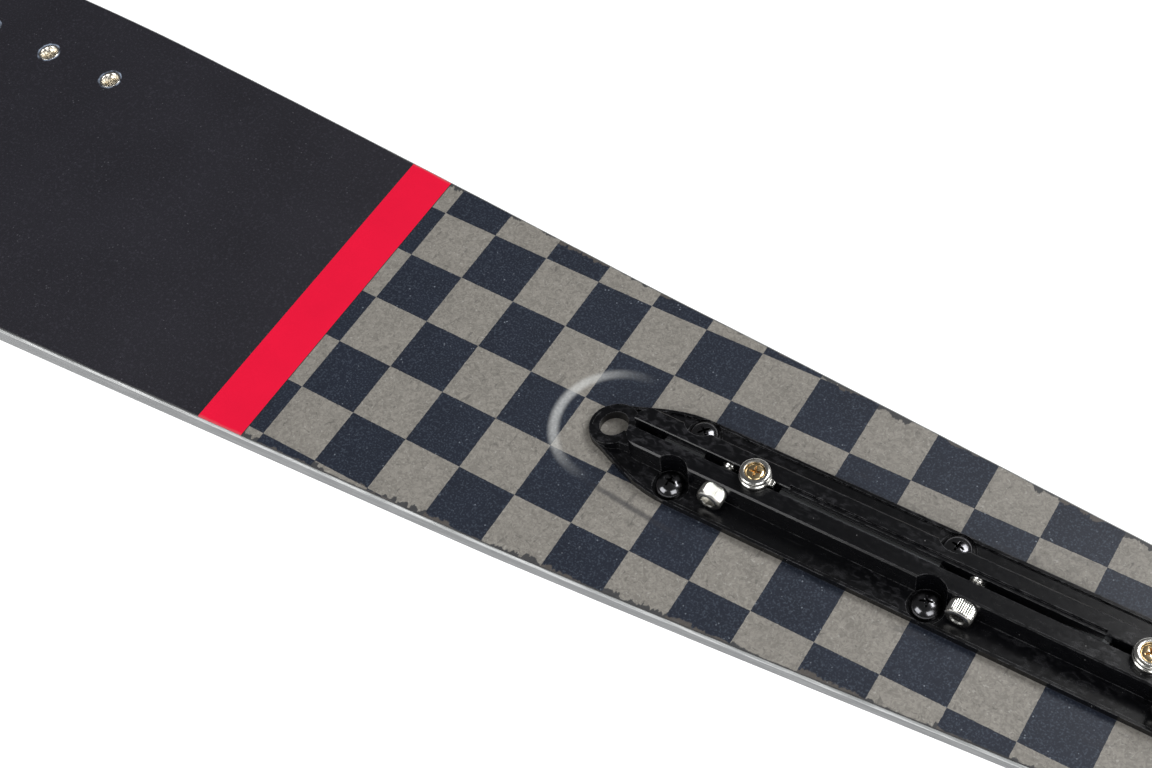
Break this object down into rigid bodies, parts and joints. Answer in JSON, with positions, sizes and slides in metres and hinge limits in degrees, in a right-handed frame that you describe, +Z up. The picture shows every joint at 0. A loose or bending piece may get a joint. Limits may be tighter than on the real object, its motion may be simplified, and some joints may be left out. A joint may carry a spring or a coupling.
{
  "type": "slalom water ski",
  "caption": "Slalom water ski blank: laminated board with rocker, threaded binding inserts, and a tail clamp block holding a depth-adjustable fin with a tilting wing.",
  "frame": {"origin": "half way along the board on its centre line, level with the lowest point of the fin", "axes": "+X along the board to the tip, +Y to the side of the clamp screw heads, +Z up from the deck"},
  "size_m": [1.702, 0.1748, 0.1329],
  "materials": {
    "core_foam": "matte foam",
    "laminate_light": "satin",
    "base_gloss": "gloss",
    "sidewall_grey": "satin",
    "film_charcoal": "matte, fine speckle",
    "film_red": "matte",
    "film_check": "matte check print",
    "glass_laminate": "matte",
    "insert_nickel": "bright plated",
    "insert_brass": "plain",
    "liner_plastic": "matte",
    "black_anodised": "satin black anodised",
    "black_screw": "gloss black",
    "stainless": "bright",
    "brass_screw": "bright",
    "fin_aluminium": "brushed",
    "wing_aluminium": "brushed"
  },
  "bodies": {
    "ski": {"core": "core_foam", "top_laminate": "laminate_light", "base_laminate": "base_gloss", "sidewall": "sidewall_grey", "topsheet_front": "film_charcoal", "topsheet_band": "film_red", "topsheet_tail": "film_check", "rear_insert_plate": "glass_laminate", "front_insert_plate": "glass_laminate", "tail_insert_plate": "glass_laminate", "rear_binding_inserts": "insert_nickel", "front_binding_inserts": "insert_nickel", "block_inserts": "insert_brass", "slot_liner": "liner_plastic", "fin_block": "black_anodised", "block_screws": "black_screw", "adjuster_collar_front": "stainless", "adjuster_collar_rear": "stainless"},
    "depth_nuts": {"adjuster_nut_front": "insert_brass", "adjuster_nut_rear": "insert_brass", "adjuster_pins": "stainless"},
    "fin_body": {"fin": "fin_aluminium", "wing_screws": "black_screw", "wing_nuts": "stainless"},
    "wing": {"wing_left": "wing_aluminium", "wing_right": "wing_aluminium"},
    "clamp_front": {"clamp_screw_front": "stainless"},
    "clamp_middle": {"clamp_screw_middle": "stainless"},
    "clamp_rear": {"clamp_screw_rear": "stainless"},
    "adjuster_front": {"adjuster_screw_front": "brass_screw"},
    "adjuster_rear": {"adjuster_screw_rear": "brass_screw"}
  },
  "joints": [
    {"name": "fin_depth", "type": "slide", "parent": "ski", "child": "depth_nuts", "axis": [0, 0, 1], "range_m": [-0.0015, 0.0015]},
    {"name": "fin_fore_aft", "type": "slide", "parent": "depth_nuts", "child": "fin_body", "axis": [1, 0, 0], "range_m": [-0.003, 0.003]},
    {"name": "wing_tilt", "type": "hinge", "parent": "fin_body", "child": "wing", "pos_m": [-0.7882, 0, 0.03], "axis": [0, 1, 0], "range_deg": [-2, 4]},
    {"name": "adjuster_front_turn", "type": "hinge", "parent": "ski", "child": "adjuster_front", "pos_m": [-0.6352, 0, 0.091], "axis": [0, 0, 1], "range_deg": [-773.4, 773.4]},
    {"name": "adjuster_rear_turn", "type": "hinge", "parent": "ski", "child": "adjuster_rear", "pos_m": [-0.7852, 0, 0.091], "axis": [0, 0, 1], "range_deg": [-773.4, 773.4]},
    {"name": "clamp_front_turn", "type": "hinge", "parent": "ski", "child": "clamp_front", "pos_m": [-0.6234, 0.009, 0.084], "axis": [0, 1, 0], "range_deg": [0, 360]},
    {"name": "clamp_middle_turn", "type": "hinge", "parent": "ski", "child": "clamp_middle", "pos_m": [-0.7227, 0.009, 0.084], "axis": [0, 1, 0], "range_deg": [0, 360]},
    {"name": "clamp_rear_turn", "type": "hinge", "parent": "ski", "child": "clamp_rear", "pos_m": [-0.797, 0.009, 0.084], "axis": [0, 1, 0], "range_deg": [0, 360]}
  ],
  "couplings": [
    {"joint": "adjuster_front_turn", "follows": "fin_depth", "rad_per_m": -8976},
    {"joint": "adjuster_rear_turn", "follows": "fin_depth", "rad_per_m": -8976}
  ]
}
